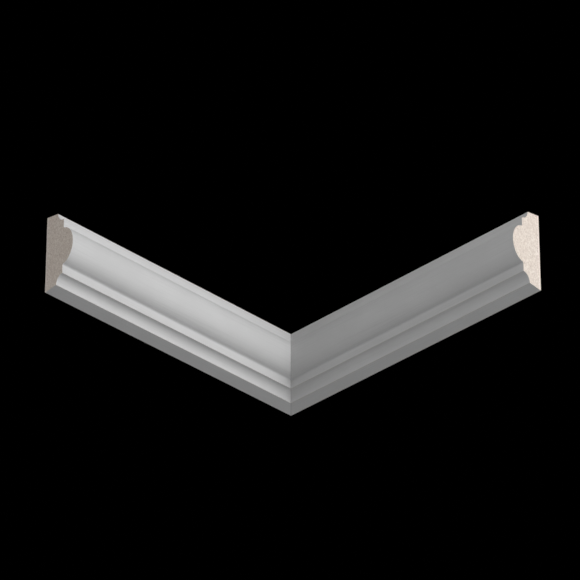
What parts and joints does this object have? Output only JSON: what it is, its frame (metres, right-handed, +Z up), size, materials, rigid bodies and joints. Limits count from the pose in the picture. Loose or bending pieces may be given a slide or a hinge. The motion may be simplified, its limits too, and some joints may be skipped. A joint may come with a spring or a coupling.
{
  "type": "decorative moulding corner",
  "caption": "Primed fibreboard wall moulding with a swelled front, mitred in the inside corner of a room and cut square at its far ends.",
  "frame": {"origin": "foot of the inside corner: where the two walls meet, level with the moulding's lower back edge", "axes": "+X runs out along the right-hand wall with the right length, -Y runs out along the left-hand wall with the left length, +Z up the walls. The room is the quarter where x is over 0 and y is under 0"},
  "size_m": [0.2394, 0.2358, 0.06],
  "materials": {
    "primed_fibreboard": "matte"
  },
  "bodies": {
    "root": {"left_length": "primed_fibreboard", "right_length": "primed_fibreboard"}
  },
  "joints": []
}
